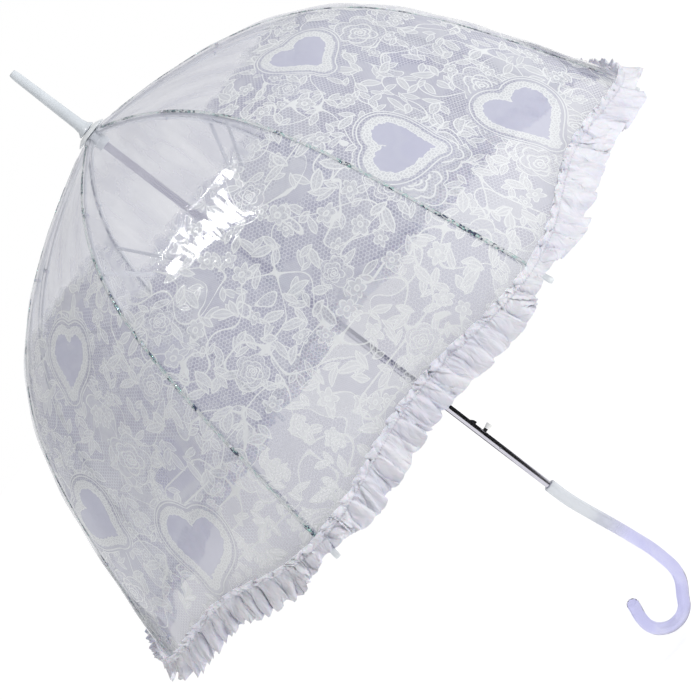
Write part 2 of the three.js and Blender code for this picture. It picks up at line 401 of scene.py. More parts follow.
class Stamp:
    """Motifs scattered one to a cell: local fields in metres about each centre, turned at random."""

    def __init__(self, look, cloth, cell, scatter, shift):
        moved = look.node("ShaderNodeVectorMath", operation="ADD")
        look.tree.links.new(cloth, moved.inputs[0])
        moved.inputs[1].default_value = (shift, shift * 0.7, 0.0)
        cells = look.node("ShaderNodeTexVoronoi", voronoi_dimensions="2D", feature="F1")
        look.tree.links.new(moved.outputs[0], cells.inputs["Vector"])
        cells.inputs["Scale"].default_value = 1 / cell
        cells.inputs["Randomness"].default_value = scatter
        here = look.node("ShaderNodeVectorMath", operation="SUBTRACT")
        look.tree.links.new(moved.outputs[0], here.inputs[0])
        look.tree.links.new(cells.outputs["Position"], here.inputs[1])
        chance, self.second, _ = look.xyz(cells.outputs["Color"])
        x, y, _ = look.xyz(here.outputs[0])
        turn = chance * (2 * math.pi)
        cosine, sine = turn.cos(), turn.sin()
        self.x = x * cosine + y * sine
        self.y = y * cosine - x * sine

    def sized(self, size):
        """Draws the motif larger or smaller in each cell."""
        self.x, self.y = self.x / size, self.y / size
        return self

    def distance(self, dx=0.0, dy=0.0):
        x, y = self.x - dx, self.y - dy
        return (x * x + y * y).math("SQRT")

    def petals(self, count, depth, turn=0.0, dx=0.0, dy=0.0):
        """Radius against a scalloped round about (dx, dy): equal values lie on petal outlines."""
        angle = (self.y - dy).math("ARCTAN2", self.x - dx)
        lobes = abs((angle * (count / 2) + turn).cos())
        return self.distance(dx, dy) / (lobes * depth + (1 - depth))

    def leaf(self, length, width, dx=0.0, dy=0.0, turn=0.0):
        """0 on the outline of a pointed leaf about (dx, dy), negative inside, and its own y, in metres."""
        x, y = self.x - dx, self.y - dy
        along = (x * math.cos(turn) + y * math.sin(turn)) / length
        across = y * math.cos(turn) - x * math.sin(turn)
        return abs(across) - (along * along).flipped() * width, across


def hexagon_net(look, cloth, pitch):
    """1 on the threads of a hexagonal net, 0 in its holes."""
    x, y, _ = look.xyz(cloth)
    waves = None
    for degrees in (0, 60, 120):
        a = math.radians(degrees)
        along = x * (math.cos(a) * 2 * math.pi / pitch) + y * (math.sin(a) * 2 * math.pi / pitch)
        wave = along.cos()
        waves = wave if waves is None else waves + wave
    return waves.ramp(-0.2, -0.9)


def roses(rose):
    """Lines, body and shading of a full rose: rings of overlapping petals, each set off its centre."""
    rose.sized(rose.second.ramp(0.44, 0.46, 0.56, 1.0))
    lines = rose.distance().line(0.0020, 0.0012)
    rings = ((0.0056, 3, 0.30, 0.4, 0.0006, 0.0), (0.0105, 4, 0.28, 1.3, 0.0016, 0.0008),
             (0.0172, 5, 0.24, 0.2, 0.0008, 0.0026), (0.0262, 5, 0.26, 0.9, -0.0010, 0.0020))
    for radius, count, depth, turn, dx, dy in rings:
        scallop = rose.petals(count, depth, turn, dx, dy)
        lines = lines.at_least(scallop.line(radius, 0.0014))
    shade = (rose.petals(4, 0.28, 1.3, 0.0016, 0.0008) * (2 * math.pi / 0.0052)).sin()
    return lines, scallop.ramp(0.0272, 0.0264), shade.ramp(-0.5, 0.9)


def sprigs(sprig, flowers):
    """Small five-petalled flowers in a share of the cells, and pairs of veined leaves in the others."""
    flower = sprig.second.ramp(flowers, flowers + 0.01, 1.0, 0.0)
    petal = sprig.petals(5, 0.42)
    flower_lines = petal.line(0.0084, 0.0012).at_least(sprig.distance().line(0.0022, 0.0011))
    flower_fill = petal.ramp(0.0084, 0.0078)
    leaf_lines, leaf_fill = None, None
    pair = ((0.0105, 0.0040, 0.0052, 0.0, 0.0), (0.0080, 0.0032, -0.0042, 0.0046, 1.15))
    for length, width, dx, dy, turn in pair:
        leaf, across = sprig.leaf(length, width, dx, dy, turn)
        vein = abs(across).ramp(0.0002, 0.0006, 1.0, 0.0) * leaf.ramp(0.0, -0.0006)
        outline = abs(leaf).ramp(0.0004, 0.0010, 1.0, 0.0)
        body = leaf.ramp(0.0, -0.0006)
        outline = outline.at_least(vein * 0.8)
        leaf_lines = outline if leaf_lines is None else leaf_lines.at_least(outline)
        leaf_fill = body if leaf_fill is None else leaf_fill.at_least(body)
    lines = flower_lines * flower + leaf_lines * flower.flipped()
    fill = flower_fill * flower + leaf_fill * flower.flipped()
    return lines, fill


def warped(look, vector, scale, reach):
    """The same coordinates pushed about by up to reach metres, for lines drawn by hand."""
    push = look.noise_node(vector, scale, 1.0)
    warp = look.node("ShaderNodeVectorMath", operation="MULTIPLY_ADD")
    look.tree.links.new(push.outputs["Color"], warp.inputs[0])
    warp.inputs[1].default_value = (reach, reach, 0.0)
    look.tree.links.new(vector, warp.inputs[2])
    return warp.outputs[0]


def motifs(look, cloth, drawn):
    """Lines and filled shapes: full roses, then sprigs, then stems, scrolls and buds in what is left."""
    rose_lines, rose_body, rose_shade = roses(Stamp(look, drawn, ROSE_CELL, 0.62, 0.0))
    sprig_lines, sprig_fill = sprigs(Stamp(look, drawn, SPRIG_CELL, 0.75, 0.37), 0.34)
    bud_lines, bud_fill = sprigs(Stamp(look, drawn, BUD_CELL, 0.85, 1.91).sized(0.8), 0.22)
    stems = look.noise(cloth, 23.0, 0.0).line(0.5, 0.012)
    scroll = look.noise(drawn, 19.0, 1.0, distortion=0.5)
    scroll_fill = scroll.ramp(0.560, 0.566)
    scroll_line = scroll.line(0.562, 0.009)

    away = rose_body.flipped()
    free = away * sprig_fill.flipped()
    lines = (rose_lines * rose_body).at_least(sprig_lines * away)
    lines = lines.at_least(stems.at_least(scroll_line).at_least(bud_lines) * free)
    fill = (rose_shade * 0.40 + 0.20) * rose_body
    fill = fill.at_least(sprig_fill * away * 0.7)
    fill = fill.at_least((bud_fill * 0.6).at_least(scroll_fill * 0.3) * free)
    return lines, fill


def ground_weave(look, cloth, drawn):
    """How closely the ground is woven: open hexagonal net in patches, close hatching between them."""
    x, y, _ = look.xyz(cloth)
    hatch = (x * (0.8 * HATCH_WAVE) + y * (0.6 * HATCH_WAVE)).sin()
    hatch = hatch * (x * (-0.5 * HATCH_WAVE) + y * HATCH_WAVE).sin()
    open_net = look.noise(drawn, 15.0, 1.0).ramp(0.56, 0.60, 1.0, 0.0)
    return hexagon_net(look, cloth, NET_PITCH) * open_net + (hatch * 0.25 + 0.66) * open_net.flipped()


def heart_edges(look, cloth, heart):
    """Hearts: a plain middle, a crochet edge with eyelets, and a thin double outline that comes and goes.
    Returns their lines, their filled parts, the middle, and all the room that they take."""
    patchy = look.noise(cloth, 19.0, 0.0)
    ripple = (look.noise(cloth, 240.0, 1.0) - 0.5) * 0.0050
    rim = heart + ripple
    inside = rim.ramp(0.0004, -0.0004)
    edging = (heart + ripple * 0.6).ramp(0.0090, 0.0082) * inside.flipped()
    eyelets = look.node("ShaderNodeTexVoronoi", voronoi_dimensions="2D", feature="DISTANCE_TO_EDGE")
    look.tree.links.new(cloth, eyelets.inputs["Vector"])
    eyelets.inputs["Scale"].default_value = 1 / EYELET_PITCH
    crochet = look.field(eyelets.outputs["Distance"]).ramp(0.10, 0.22, 1.0, 0.25)
    outline = heart.line(0.0122, 0.0009).at_least(heart.line(0.0150, 0.0009) * patchy.ramp(0.46, 0.50))
    halo = heart.ramp(0.0160, 0.0152)
    lines = outline.at_least(crochet * edging).at_least(rim.line(0.0006, 0.0010))
    fill = (edging * 0.8).at_least(halo * inside.flipped() * 0.15)
    return lines, fill, inside * halo, halo


def lace_film():
    """Clear creased film with the lace printed on it in white, from a ragged border down to the hem."""
    look = Look("lace_film")
    cloth = look.attribute("cloth").outputs["Vector"]
    arc = look.field(look.attribute("arc").outputs["Fac"])
    heart = look.field(look.attribute("heart").outputs["Fac"])
    drawn = warped(look, warped(look, cloth, 26.0, 0.012), 130.0, 0.0016)

    lines, fill = motifs(look, cloth, drawn)
    heart_lines, heart_fill, middle, halo = heart_edges(look, cloth, heart)
    ground = halo.flipped()
    lines = (lines * ground).at_least(heart_lines)
    fill = (fill * ground).at_least(heart_fill)
    weave = ground_weave(look, cloth, drawn)
    haze = look.noise(cloth, 11.0).ramp(0.38, 0.66)
    ragged = (look.noise(cloth, 45.0) - 0.5) * PRINT_RAGGED
    printed = (arc + ragged).ramp(PRINT_START - PRINT_FADE / 2, PRINT_START + PRINT_FADE / 2)

    cover = (weave * 0.20 + haze * 0.05 + 0.58) * ground + halo * 0.80
    cover = cover.at_least(fill * 0.82).at_least(lines * 0.93) * printed
    facing = look.node("ShaderNodeLayerWeight")
    facing.inputs["Blend"].default_value = 0.25
    x, y, _ = look.xyz(cloth)
    streaks = look.noise(look.vector(x * 55.0, y * 9.0), 1.0)
    film = look.field(facing.outputs["Facing"]).power(2.0) * 0.35 + streaks.ramp(0.3, 0.75, 0.28, 0.46)
    look.feed("Alpha", cover.at_least(film).at_most(0.96))

    # Painted shade: the net holes are coloured dark lilac for the shaded inside of the dome seen through the
    # film, so patches of open net come out darker.
    holes_painted_shade = look.blend(haze, (0.26, 0.26, 0.39), (0.35, 0.36, 0.49))
    colour = look.blend(weave, holes_painted_shade, (0.57, 0.58, 0.66))
    colour = look.blend((fill * 1.15).at_most(1.0), colour, (0.64, 0.66, 0.70))
    colour = look.blend(lines, colour, (0.78, 0.80, 0.82))
    colour = look.blend(middle, colour, (0.50, 0.51, 0.65))
    colour = look.blend(printed.flipped(), colour, (0.52, 0.53, 0.63))
    look.feed("Base Color", colour)
    look.fix(Roughness=0.05, IOR=1.5, Specular_IOR_Level=0.9)
    creases = look.noise(cloth, 13.0, 3.0)
    look.bump(creases + streaks * 0.35 + lines * 0.02, 0.35, 0.004)
    return look.material


def satin():
    """White satin, crumpled where it is gathered, with a line of stitches."""
    look = Look("frill_satin")
    place = look.place()
    thread = look.field(look.attribute("thread").outputs["Fac"])
    drop = look.field(look.attribute("drop").outputs["Fac"])
    broad = look.noise(place, 30.0)
    dashes = (thread * (2 * math.pi / STITCH_LENGTH)).sin().ramp(-0.2, 0.1)
    stitch = abs(drop).ramp(0.0004, 0.0009, 1.0, 0.0) * dashes
    cloth = look.blend(broad.ramp(0.3, 0.7), (0.82, 0.82, 0.91), (0.90, 0.90, 0.96))
    look.feed("Base Color", look.blend(stitch, cloth, (0.70, 0.70, 0.78)))
    look.feed("Roughness", broad.ramp(0.3, 0.7, 0.30, 0.44))
    look.fix(Sheen_Weight=0.3, Sheen_Roughness=0.4, Subsurface_Weight=0.1, Subsurface_Scale=0.004)
    weave = (thread * (2 * math.pi / WEAVE_PITCH)).sin() * 0.15 + look.noise(place, 900.0, 1.0) * 0.4
    crumple = look.noise(look.vector(thread * 120.0, drop * 38.0, broad * 1.5), 1.0, 3.0)
    sharp = abs(crumple - 0.5) * 2.0
    look.bump(sharp * 4.0 + weave * 0.3, 0.55, 0.0016)
    return look.material


def moulded(name, colour, shade, roughness, scale=180.0):
    """Moulded plastic: faint flow marks, and fine grain in the gloss."""
    look = Look(name)
    place = look.place()
    flow = look.noise(place, 24.0, 3.0, distortion=0.6)
    look.feed("Base Color", look.blend(flow.ramp(0.35, 0.7), colour, shade))
    grain = look.noise(place, scale)
    look.feed("Roughness", grain.ramp(0.3, 0.7, roughness, roughness + 0.1))
    look.fix(Coat_Weight=0.2, Coat_Roughness=0.15)
    look.bump(look.noise(place, 260.0), 0.04, 0.0002)
    return look.material


def metal(name, colour, worn, roughness, metallic=1.0):
    """Bright drawn metal with lengthwise draw marks and dull patches."""
    look = Look(name)
    x, y, z = look.xyz(look.place())
    drawn = look.vector(x * 900.0, y * 900.0, z * 18.0)
    marks = look.noise(drawn, 1.0, 2.0)
    dull = look.noise(look.place(), 40.0, 3.0)
    look.feed("Base Color", look.blend(dull.ramp(0.4, 0.75), colour, worn))
    look.feed("Roughness", (marks * 0.10 + dull * 0.08) + roughness)
    look.fix(Metallic=metallic)
    look.bump(marks, 0.06, 0.0002)
    return look.material


def seam_painted_glints():
    """The welded seam: clear film on film, whose crimps show dark and pale glints of the rib below as painted
    reflections in its colour.
    """
    look = Look("seam_weld")
    cells = look.node("ShaderNodeTexVoronoi", voronoi_dimensions="2D")
    cloth = look.attribute("cloth").outputs["Vector"]
    squeezed = look.node("ShaderNodeVectorMath", operation="MULTIPLY")
    look.tree.links.new(cloth, squeezed.inputs[0])
    squeezed.inputs[1].default_value = (1.0, 0.55, 1.0)
    look.tree.links.new(squeezed.outputs[0], cells.inputs["Vector"])
    cells.inputs["Scale"].default_value = 1050.0
    chance, second, _ = look.xyz(cells.outputs["Color"])
    patches = look.noise(cloth, 34.0, 2.0).ramp(0.42, 0.58)
    # Painted reflection: the dark and teal specks stand for glints of the rib in the crimps.
    dark = (chance * patches).ramp(0.42, 0.5)
    teal_glint = second.ramp(0.80, 0.82)
    colour = look.blend(dark, (0.82, 0.85, 0.86), (0.10, 0.12, 0.20))
    colour = look.blend(teal_glint, colour, (0.45, 0.72, 0.68))
    look.feed("Base Color", colour)
    look.feed("Metallic", dark * 0.8)
    look.feed("Alpha", dark * 0.45 + patches * 0.2 + 0.30)
    look.fix(Roughness=0.18)
    look.bump(look.field(cells.outputs["Distance"]), 0.6, 0.0008)
    return look.material


def crook_plastic():
    """Tinted clear plastic, milky where the shaft is held and clearer round the crook."""
    look = Look("crook_plastic")
    place = look.place()
    height = look.xyz(place)[2]
    swirl = look.noise(place, 20.0, 2.0, distortion=0.8)
    milky = (height + swirl * 0.02).ramp(HANDLE_TOP - 0.095, HANDLE_TOP - 0.035)
    tint = look.blend(swirl.ramp(0.3, 0.7), (0.52, 0.52, 0.78), (0.66, 0.66, 0.87))
    look.feed("Base Color", look.blend(milky, tint, (0.80, 0.83, 0.87)))
    look.feed("Roughness", milky * 0.2 + swirl * 0.02 + 0.01)
    look.feed("Transmission Weight", milky.flipped())
    look.fix(IOR=1.47, Coat_Weight=0.5, Coat_Roughness=0.05)
    look.bump(look.noise(place, 90.0, 2.0), 0.06, 0.0006)
    return look.material


# ---------------------------------------------------------------- canopy

def heart_outline(count=90):
    """A heart of unit width about its middle, tip towards -y."""
    t = np.linspace(0, 2 * math.pi, count, endpoint=False)
    x = 16 * np.sin(t) ** 3
    y = 13 * np.cos(t) - 5 * np.cos(2 * t) - 2 * np.cos(3 * t) - np.cos(4 * t)
    return np.stack([x, y + 2.5], axis=-1) / 32


def outline_distance(points, outline):
    """Signed distance to a closed outline, negative inside it."""
    best = np.full(len(points), 9.0)
    inside = np.zeros(len(points), bool)
    for a, b in zip(outline, np.roll(outline, -1, axis=0)):
        edge = b - a
        along = np.clip(((points - a) @ edge) / (edge @ edge), 0, 1)
        best = np.minimum(best, np.linalg.norm(points - a - along[:, None] * edge, axis=1))
        crosses = (a[1] > points[:, 1]) != (b[1] > points[:, 1])
        rise = edge[1] if abs(edge[1]) > 1e-12 else 1e-12
        inside ^= crosses & (points[:, 0] < a[0] + (points[:, 1] - a[1]) * edge[0] / rise)
    return np.where(inside, -best, best)


def heart_distance(u, v):
    points = np.stack([u, v], axis=-1)
    nearest = np.full(len(points), NO_HEART)
    for across, along, width, turn in HEARTS:
        a = math.radians(turn)
        shape = heart_outline() * width * np.array([1.0, 1.05])
        turned = np.stack([
            shape[:, 0] * math.cos(a) - shape[:, 1] * math.sin(a),
            -(shape[:, 0] * math.sin(a) + shape[:, 1] * math.cos(a)),
        ], axis=-1)
        nearest = np.minimum(nearest, outline_distance(points, turned + (across, along)))
    return nearest


def fold_with(piece):
    """Bakes the piece's placement into its mesh."""
    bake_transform(piece)


def hem_depth(across):
    """The hem climbs between two ribs."""
    return HEM_DEPTH - HEM_RISE * sag_at(across)


def film_half(index, side, material):
    """Half a panel of film, from a rib to the panel's middle."""
    rows, columns = 104, 26
    across = np.linspace(0, 1, columns)[None, :]
    share = np.linspace(0, 1, rows)[:, None] ** 1.5
    depth = PANEL_TOP_DEPTH + (hem_depth(across) - PANEL_TOP_DEPTH) * share
    across = np.broadcast_to(across, depth.shape)
    angle = rib_angle(index) + side * across * PANEL_ANGLE / 2
    puff = 0.0006 * np.sin(across * math.pi) * np.sin(arc_at(depth) * 95 + index)
    points = dome_points(angle, across, depth, puff - 0.0003)
    word = word_for(side)
    faces = grid_faces(rows, columns, flip=side < 0)
    piece = mesh_piece(f"lace_panel_{index + 1}_{word}", points.reshape(-1, 3), faces, material)

    number = panel_number(index, side)
    u = (-side * (1 - across) * dome_radius(depth) * PANEL_ANGLE / 2).ravel()
    v = arc_at(depth).ravel()
    has_hearts = number % 2 == 0
    float_attribute(piece, "arc", v - (0 if has_hearts else PRINT_LATER))
    float_attribute(piece, "heart", heart_distance(u, v) if has_hearts else np.full(len(u), NO_HEART))
    vector_attribute(piece, "cloth", np.stack([u + 0.37 * number, v + 0.23 * number, 0 * u], axis=-1))

    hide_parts(f"canopy_panel_{index + 1}_{word}")
    fold_with(piece)


def wander(rng, count, at):
    """A smooth random line over 0 to 1 with about count wiggles, 0 at both ends."""
    knots = rng.uniform(-1, 1, count + 2)
    knots[0] = knots[-1] = 0
    place = at * (count + 1)
    low = np.minimum(place.astype(int), count)
    share = place - low
    share = share * share * (3 - 2 * share)
    return knots[low] * (1 - share) + knots[low + 1] * share


def gathers(number, at, level):
    """Folds of the frill of one panel: at runs 0 to 1 from rib to rib, level from -1 at the
    heading's edge through 0 at the stitch line to 1 at the free edge.
    Returns how far the ribbon stands out, how far it laps along the hem, and how it shortens."""
    rng = np.random.default_rng(100 + number)
    jitter = 0.42 * wander(rng, 17, at)
    slant = 0.32 * wander(rng, 11, at)
    spread = 0.20 * wander(rng, 23, at)
    size = 1 + 0.5 * wander(rng, 19, at)
    crease = wander(rng, 37, at)
    rise = wander(rng, 13, at)
    pinned = np.clip(np.minimum(at, 1 - at) / 0.035, 0, 1)
    edge = np.abs(level)
    lean = slant * level + spread * level ** 2 + 0.12 * np.sin(5 * level + 6 * crease)
    phase = 2 * math.pi * (FRILL_GATHERS * at + jitter + lean)
    heading, skirt = 0.0008 + 0.0024 * edge ** 0.8, 0.0008 + 0.0044 * edge ** 0.7
    fold = np.where(level < 0, heading, skirt) * size * pinned
    out = fold * (np.sin(phase) + 0.25 * np.sin(2 * phase + 3 * crease) * edge)
    lap = fold * 1.05 * np.sin(phase - 1.1 + 0.8 * level)
    pucker = 0.0009 * np.sin(3 * phase + 6 * crease + 2.5 * level) * (1 - 0.5 * edge) * pinned
    return out + pucker, lap, 0.10 * np.sin(phase + 0.6) * edge + 0.07 * rise


def frill_half(index, side, material):
    """Gathered ribbon: pinned along its stitch line, folding more towards both edges."""
    columns, rows = 176, 17
    across = np.linspace(0, 1, columns)[None, :]
    number = panel_number(index, side)
    at = across / 2 if side > 0 else 1 - across / 2
    level = np.linspace(-1, 1, rows)[:, None]
    out, lap, short = gathers(number, at, level)
    widening = sag_at(np.clip(across * 2.5, 0, 1))
    width = FRILL_WIDTH_AT_RIB + (FRILL_WIDTH - FRILL_WIDTH_AT_RIB) * widening
    q = np.where(level < 0, level * FRILL_HEADING, level * width) * (1 + short)
    depth = hem_depth(across) + FRILL_DROP + q
    stand = FRILL_STAND + 0.0016 * np.abs(level) ** 1.5 + 0.0010 * (level < 0)
    angle = rib_angle(index) + side * across * PANEL_ANGLE / 2 + lap / dome_radius(depth)
    points = dome_points(angle, np.broadcast_to(across, depth.shape), depth, stand + out)

    word = word_for(side)
    faces = grid_faces(rows, columns, flip=side < 0)
    piece = mesh_piece(f"frill_{index + 1}_{word}", points.reshape(-1, 3), faces, material)
    length = HALF_HEM * FRILL_FULLNESS
    float_attribute(piece, "thread", np.broadcast_to(across * length, depth.shape))
    float_attribute(piece, "drop", q)
    fold_with(piece)


# ---------------------------------------------------------------- ribs and their fittings

def rib_line(index, low, high, count, drop=0.0):
    """Points along a rib between two depths, drop metres further in than its centre line."""
    depth = low + (high - low) * np.linspace(0, 1, count) ** 1.5
    slope = dome_slope(depth)
    inset = (RIB_INSET + drop) / np.hypot(1, slope)
    r = dome_radius(depth) - inset
    z = APEX_Z - depth - inset * slope
    angle = rib_angle(index)
    return np.stack([r * math.cos(angle), r * math.sin(angle), z], axis=-1)


def rib_wire(index, material):
    """The wire of a rib, from its pivot in the crown to its end."""
    angle = rib_angle(index)
    r = RIB_PIVOT_R - 0.002
    root = [r * math.cos(angle), r * math.sin(angle), APEX_Z - RIB_PIVOT_DEPTH]
    points = np.concatenate([[root], rib_line(index, RIB_CURVE_TOP, RIB_END_DEPTH, 90)])
    piece = swept_tube(f"rib_wire_{index + 1}", points, np.full(len(points), RIB_RADIUS), 14, material)
    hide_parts(f"rib_{index + 1}")
    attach(piece, f"rib_{index + 1}")


def seam(index, material):
    """Raised weld between two panels, over the rib: a flat bead of film."""
    depth = SEAM_TOP + (HEM_DEPTH - SEAM_TOP) * np.linspace(0, 1, 220) ** 1.5
    section = [(-1, 0.0), (-0.6, 0.55), (0.6, 0.55), (1, 0.0), (0.6, -0.55), (-0.6, -0.55)]
    verts, cloth = [], []
    for d in depth:
        for across, up in section:
            offset = across * SEAM_HALF_WIDTH
            verts.append(dome_points(rib_angle(index) + offset / dome_radius(d), 0.0, d, SEAM_THICKNESS * up))
            cloth.append((offset + 0.05 * index, arc_at(d), 0))
    sides = len(section)
    faces = [tuple(range(sides)), tuple(range((len(depth) - 1) * sides, len(depth) * sides))[::-1]]
    for i in range(len(depth) - 1):
        for j in range(sides):
            a, b = i * sides + j, i * sides + (j + 1) % sides
            faces.append((a, a + sides, b + sides, b))
    piece = mesh_piece(f"panel_seam_{index + 1}", verts, faces, material)
    vector_attribute(piece, "cloth", cloth)
    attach(piece, f"rib_{index + 1}")


def tie(index, number, depth, material):
    """Loops of thread that hold the film to the rib."""
    line = rib_line(index, depth, depth + 0.001, 2)
    centre = rib_line(index, depth, depth + 0.001, 2, drop=-0.0012)[0]
    along = line[1] - line[0]
    along /= np.linalg.norm(along)
    angle = rib_angle(index)
    side = np.array([-math.sin(angle), math.cos(angle), 0])
    out = np.cross(side, along)
    turns = np.linspace(0, TIE_TURNS * 2 * math.pi, 60)
    pitch = np.linspace(-0.0011, 0.0011, len(turns))
    points = [
        centre + side * 0.0021 * math.cos(t) + out * 0.0031 * math.sin(t) + along * s
        for t, s in zip(turns, pitch)
    ]
    radii = np.full(len(turns), THREAD_RADIUS)
    piece = swept_tube(f"tie_{index + 1}_{number}", points, radii, 7, material)
    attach(piece, f"rib_{index + 1}")


def turned_piece(name, profile, place, material, segments=40):
    """A closed turned shape: pairs of radius and height, from axis to axis, placed by a matrix."""
    verts, rings = [], []
    for r, z in profile:
        count = 1 if r == 0 else segments
        rings.append(list(range(len(verts), len(verts) + count)))
        for k in range(count):
            a = 2 * math.pi * k / segments
            verts.append(place @ Vector((r * math.cos(a), r * math.sin(a), z)))
    faces = []
    for low, high in zip(rings, rings[1:]):
        for k in range(segments):
            n = (k + 1) % segments
            if len(low) == 1:
                faces.append((low[0], high[n], high[k]))
            elif len(high) == 1:
                faces.append((low[k], low[n], high[0]))
            else:
                faces.append((low[k], low[n], high[n], high[k]))
    return mesh_piece(name, verts, faces, material)


def rounded(profile, radius=0.0006, steps=4):
    """The profile with its inner corners rounded."""
    points = [Vector(p) for p in profile]
    made = [points[0]]
    for before, corner, after in zip(points, points[1:], points[2:]):
        cut = min(radius, (before - corner).length * 0.45, (after - corner).length * 0.45)
        first = corner + (before - corner).normalized() * cut
        last = corner + (after - corner).normalized() * cut
        for k in range(steps + 1):
            t = k / steps
            made.append(first * (1 - t) ** 2 + corner * 2 * t * (1 - t) + last * t * t)
    return [tuple(p) for p in made + [points[-1]]]


def placed(origin, direction):
    """The matrix of a shape that stands at origin with its own z along direction."""
    return Matrix.Translation(origin) @ Vector(direction).to_track_quat("Z", "Y").to_matrix().to_4x4()


def rib_peg(index, material):
    """The white peg on the end of a rib."""
    end, before = (Vector(p) for p in rib_line(index, RIB_END_DEPTH - 0.001, RIB_END_DEPTH, 2)[::-1])
    along = (end - before).normalized()
    profile = rounded([
        (0, 0), (0.0018, 0), (0.0018, -0.008), (0.0023, -0.008), (0.0028, -0.0066), (0.0026, 0.001),
        (0.0029, 0.0062), (0.0022, 0.009), (0, 0.0093),
    ])
    piece = turned_piece(f"rib_peg_{index + 1}", profile, placed(end + along * 0.0003, along), material, 28)
    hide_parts(f"rib_tip_{index + 1}")
    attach(piece, f"rib_{index + 1}")


# ---------------------------------------------------------------- handle

def handle_line():
    """The crook's centre line: straight at the socket, leaning out, then a wide bend into a tighter round."""
    centre = Vector((-0.0285, 0, APEX_Z - 0.7565))
    radius = 0.0245
    lead = (
        (0, 0.581), (0, 0.594), (0.0005, 0.608), (0.005, 0.645),
        (0.0095, 0.680), (0.0123, 0.722), (0.008, 0.750),
    )
    end = ((-0.047, 0.736), (-0.043, 0.7255))
    points = [Vector((x, 0, APEX_Z - depth)) for x, depth in lead]
    for degrees in range(30, 201, 34):
        a = math.radians(degrees)
        points.append(centre + Vector((radius * math.cos(a), 0, -radius * math.sin(a))))
    points += [Vector((x, 0, APEX_Z - depth)) for x, depth in end]
    curve = bpy.data.curves.new("crook", "CURVE")
    curve.dimensions = "3D"
    curve.resolution_u = 12
    spline = curve.splines.new("BEZIER")
    spline.bezier_points.add(len(points) - 1)
    for knot, point in zip(spline.bezier_points, points):
        knot.co = point
        knot.handle_left_type = knot.handle_right_type = "AUTO"
    guide = bpy.data.objects.new("crook_guide", curve)
    bpy.context.scene.collection.objects.link(guide)
    mesh = guide.to_mesh()
    line = np.array([v.co for v in mesh.vertices])
    guide.to_mesh_clear()
    bpy.data.objects.remove(guide)
    return line


def crook(material):
    """The handle: flared rim with a socket at the top, rounded end."""
    line = handle_line()
    sides, r = 32, CROOK_RADIUS
    tangents = np.gradient(line, axis=0)
    tangents /= np.linalg.norm(tangents, axis=1)[:, None]
    rings = []
    rim = (
        (-SOCKET_DEPTH, 0.0), (-SOCKET_DEPTH, SOCKET_RADIUS), (-0.001, SOCKET_RADIUS), (-0.0002, 0.0046),
        (0, 0.0052), (0, 0.0060), (-0.0004, 0.0067), (-0.0012, r),
    )
    for height, radius in rim:
        rings.append((np.array([0, 0, HANDLE_TOP + height]), np.array([0, 0, -1.0]), radius))
    for point, tangent in zip(line, tangents):
        if point[2] < HANDLE_TOP - 0.004:
            rings.append((point, tangent, r))
    end, heading = line[-1], tangents[-1]
    for k in range(1, 9):
        a = math.radians(90 * k / 8)
        rings.append((end + heading * (r * math.sin(a) - r), heading, r * math.cos(a) if k < 8 else 0.0))
    body = [ring for ring in rings[len(rim):-8] if np.linalg.norm(ring[0] - end) > r]
    keep = rings[:len(rim)] + body + rings[-8:]
    verts, faces, before = [], [], None
    across = np.array([0, 1.0, 0])
    for point, tangent, radius in keep:
        side = np.cross(tangent, across)
        count = 1 if radius == 0 else sides
        ring = list(range(len(verts), len(verts) + count))
        for k in range(count):
            a = 2 * math.pi * k / sides
            verts.append(point + radius * (math.cos(a) * side + math.sin(a) * across))
        if before:
            for k in range(sides):
                n = (k + 1) % sides
                if len(before) == 1:
                    faces.append((before[0], ring[k], ring[n]))
                elif len(ring) == 1:
                    faces.append((before[k], ring[0], before[n]))
                else:
                    faces.append((before[k], ring[k], ring[n], before[n]))
        before = ring
    piece = mesh_piece("crook_handle", verts, faces, material)
    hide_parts("handle")
    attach(piece, "shaft")


# ---------------------------------------------------------------- carried-over CAD pieces

def smooth_by_angle():
    """Node group that shades a faceted mesh smooth, except across sharp edges."""
    group = bpy.data.node_groups.new("smooth_facets", "GeometryNodeTree")
    group.interface.new_socket("Geometry", in_out="INPUT", socket_type="NodeSocketGeometry")
    group.interface.new_socket("Geometry", in_out="OUTPUT", socket_type="NodeSocketGeometry")
    start = group.nodes.new("NodeGroupInput")
    end = group.nodes.new("NodeGroupOutput")
    smooth = group.nodes.new("GeometryNodeSetShadeSmooth")
    sharp = group.nodes.new("GeometryNodeSetShadeSmooth")
    sharp.domain = "EDGE"
    sharp.inputs["Shade Smooth"].default_value = False
    angle = group.nodes.new("GeometryNodeInputMeshEdgeAngle")
    wide = group.nodes.new("FunctionNodeCompare")
    wide.inputs[1].default_value = math.radians(24)
    group.links.new(start.outputs[0], smooth.inputs["Geometry"])
    group.links.new(smooth.outputs[0], sharp.inputs["Geometry"])
    group.links.new(angle.outputs["Unsigned Angle"], wide.inputs[0])
    group.links.new(wide.outputs[0], sharp.inputs["Selection"])
    group.links.new(sharp.outputs[0], end.inputs[0])
    return group


def finish_node(name, material, group, bevel=0.0003):
    """A CAD piece that is shown as it is: its material, broken edges and smooth facets."""
    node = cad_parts[name]
    node.data.materials.clear()
    node.data.materials.append(material)
    weld = node.modifiers.new("weld", "WELD")
    weld.merge_threshold = 1e-5
    if bevel:
        edge = node.modifiers.new("edges", "BEVEL")
        edge.width = bevel
        edge.segments = 2
        edge.limit_method = "ANGLE"
        edge.angle_limit = math.radians(40)
    node.modifiers.new("smooth", "NODES").node_group = group


# ---------------------------------------------------------------- studio

